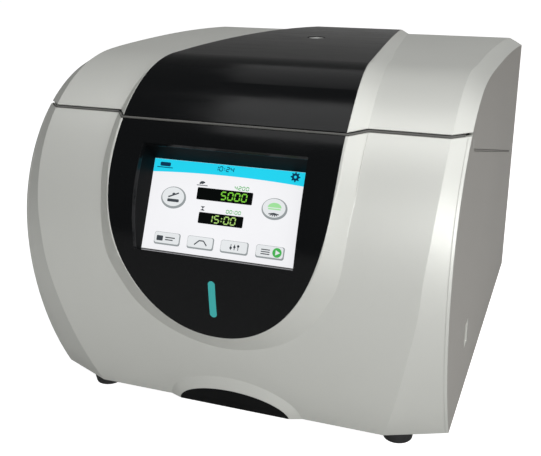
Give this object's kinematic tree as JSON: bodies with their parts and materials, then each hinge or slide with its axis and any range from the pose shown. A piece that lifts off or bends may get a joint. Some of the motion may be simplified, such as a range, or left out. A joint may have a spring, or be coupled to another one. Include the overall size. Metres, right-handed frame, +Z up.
{
  "type": "benchtop centrifuge",
  "caption": "Benchtop centrifuge: faceted case with a raised touch panel, rear-hinged lid, round chamber and swing-out rotor with hanging buckets.",
  "frame": {"origin": "on the bench, under the middle of the case's width and depth", "axes": "+X to the user's right, +Y to the rear, +Z up, the front faces -Y"},
  "size_m": [0.43, 0.516, 0.3552],
  "materials": {
    "casing_grey": "fine satin, moulded",
    "gloss_black": "polished",
    "display": "bright display behind clear cover",
    "light_teal": "lit translucent",
    "deck_grey": "fine texture",
    "stainless": "turned and brushed",
    "painted_steel": "powder coat",
    "aluminium": "anodised",
    "bright_steel": "ground",
    "laminations": "stacked sheet",
    "rubber": "matt",
    "dark_plastic": "fine texture",
    "adapter_white": "moulded",
    "board_green": "solder mask",
    "clear": "polished"
  },
  "bodies": {
    "base": {"front_cover": "casing_grey", "side_panel_left": "casing_grey", "side_panel_right": "casing_grey", "rear_panel": "painted_steel", "base_pan": "painted_steel", "top_deck": "deck_grey", "touch_panel": "gloss_black", "status_light_bar": "light_teal", "arch_cover": "gloss_black", "screen_bezel": "gloss_black", "display_screen": "display", "control_board": "board_green", "power_supply": "painted_steel", "rubber_feet": "rubber", "foot_screws": "bright_steel", "rear_screws": "bright_steel", "chamber_bowl": "stainless", "chamber_gasket": "rubber", "armour_ring": "painted_steel", "motor_plate": "painted_steel", "motor_dampers": "rubber", "motor_housing": "aluminium", "motor_bearings": "bright_steel", "motor_stator": "laminations", "shaft_seal": "rubber", "latch_housing": "dark_plastic", "latch_motor": "dark_plastic", "hinge_brackets": "bright_steel", "hinge_pins": "bright_steel", "torsion_springs": "bright_steel", "fan_frame": "dark_plastic", "fan_guard": "bright_steel", "power_inlet": "dark_plastic", "switch_housing": "casing_grey"},
    "lid": {"lid_shell": "casing_grey", "lid_band": "gloss_black", "lid_liner": "deck_grey", "lid_screws": "bright_steel", "port_bezel": "gloss_black", "port_lens": "clear", "striker": "bright_steel", "hinge_leaves": "bright_steel"},
    "rotor": {"drive_shaft": "bright_steel", "motor_core": "laminations", "rotor_yoke": "aluminium", "trunnion_pins": "bright_steel", "rotor_nut": "bright_steel"},
    "hook": {"latch_hook": "bright_steel"},
    "fan": {"fan_impeller": "dark_plastic"},
    "rocker": {"power_rocker": "dark_plastic"},
    "swing_bucket_1": {"bucket_1": "aluminium", "tube_adapter_1": "adapter_white"},
    "swing_bucket_2": {"bucket_2": "aluminium", "tube_adapter_2": "adapter_white"},
    "swing_bucket_3": {"bucket_3": "aluminium", "tube_adapter_3": "adapter_white"},
    "swing_bucket_4": {"bucket_4": "aluminium", "tube_adapter_4": "adapter_white"}
  },
  "joints": [
    {"name": "lid_hinge", "type": "hinge", "parent": "base", "child": "lid", "pos_m": [0, 0.244, 0.176], "axis": [-1, 0, 0], "range_deg": [0, 80]},
    {"name": "rotor_spin", "type": "hinge", "parent": "base", "child": "rotor", "pos_m": [0, 0.053, 0.2], "axis": [0, 0, 1], "continuous": true},
    {"name": "fan_spin", "type": "hinge", "parent": "base", "child": "fan", "pos_m": [-0.11, 0.24, 0.08], "axis": [0, 1, 0], "continuous": true},
    {"name": "latch_swing", "type": "hinge", "parent": "base", "child": "hook", "pos_m": [0, -0.152, 0.2565], "axis": [1, 0, 0], "range_deg": [0, 25]},
    {"name": "power_rocker_tilt", "type": "hinge", "parent": "base", "child": "rocker", "pos_m": [0.206, -0.108, 0.084], "axis": [0, -1, 0], "range_deg": [0, 16]},
    {"name": "bucket_1_swing", "type": "hinge", "parent": "rotor", "child": "swing_bucket_1", "pos_m": [0.088, 0.053, 0.221], "axis": [0, -1, 0], "range_deg": [0, 90]},
    {"name": "bucket_2_swing", "type": "hinge", "parent": "rotor", "child": "swing_bucket_2", "pos_m": [0, 0.141, 0.221], "axis": [1, 0, 0], "range_deg": [0, 90]},
    {"name": "bucket_3_swing", "type": "hinge", "parent": "rotor", "child": "swing_bucket_3", "pos_m": [-0.088, 0.053, 0.221], "axis": [0, 1, 0], "range_deg": [0, 90]},
    {"name": "bucket_4_swing", "type": "hinge", "parent": "rotor", "child": "swing_bucket_4", "pos_m": [0, -0.035, 0.221], "axis": [-1, 0, 0], "range_deg": [0, 90]}
  ],
  "couplings": [
    {"joint": "bucket_2_swing", "follows": "bucket_1_swing", "ratio": 1},
    {"joint": "bucket_3_swing", "follows": "bucket_1_swing", "ratio": 1},
    {"joint": "bucket_4_swing", "follows": "bucket_1_swing", "ratio": 1}
  ]
}
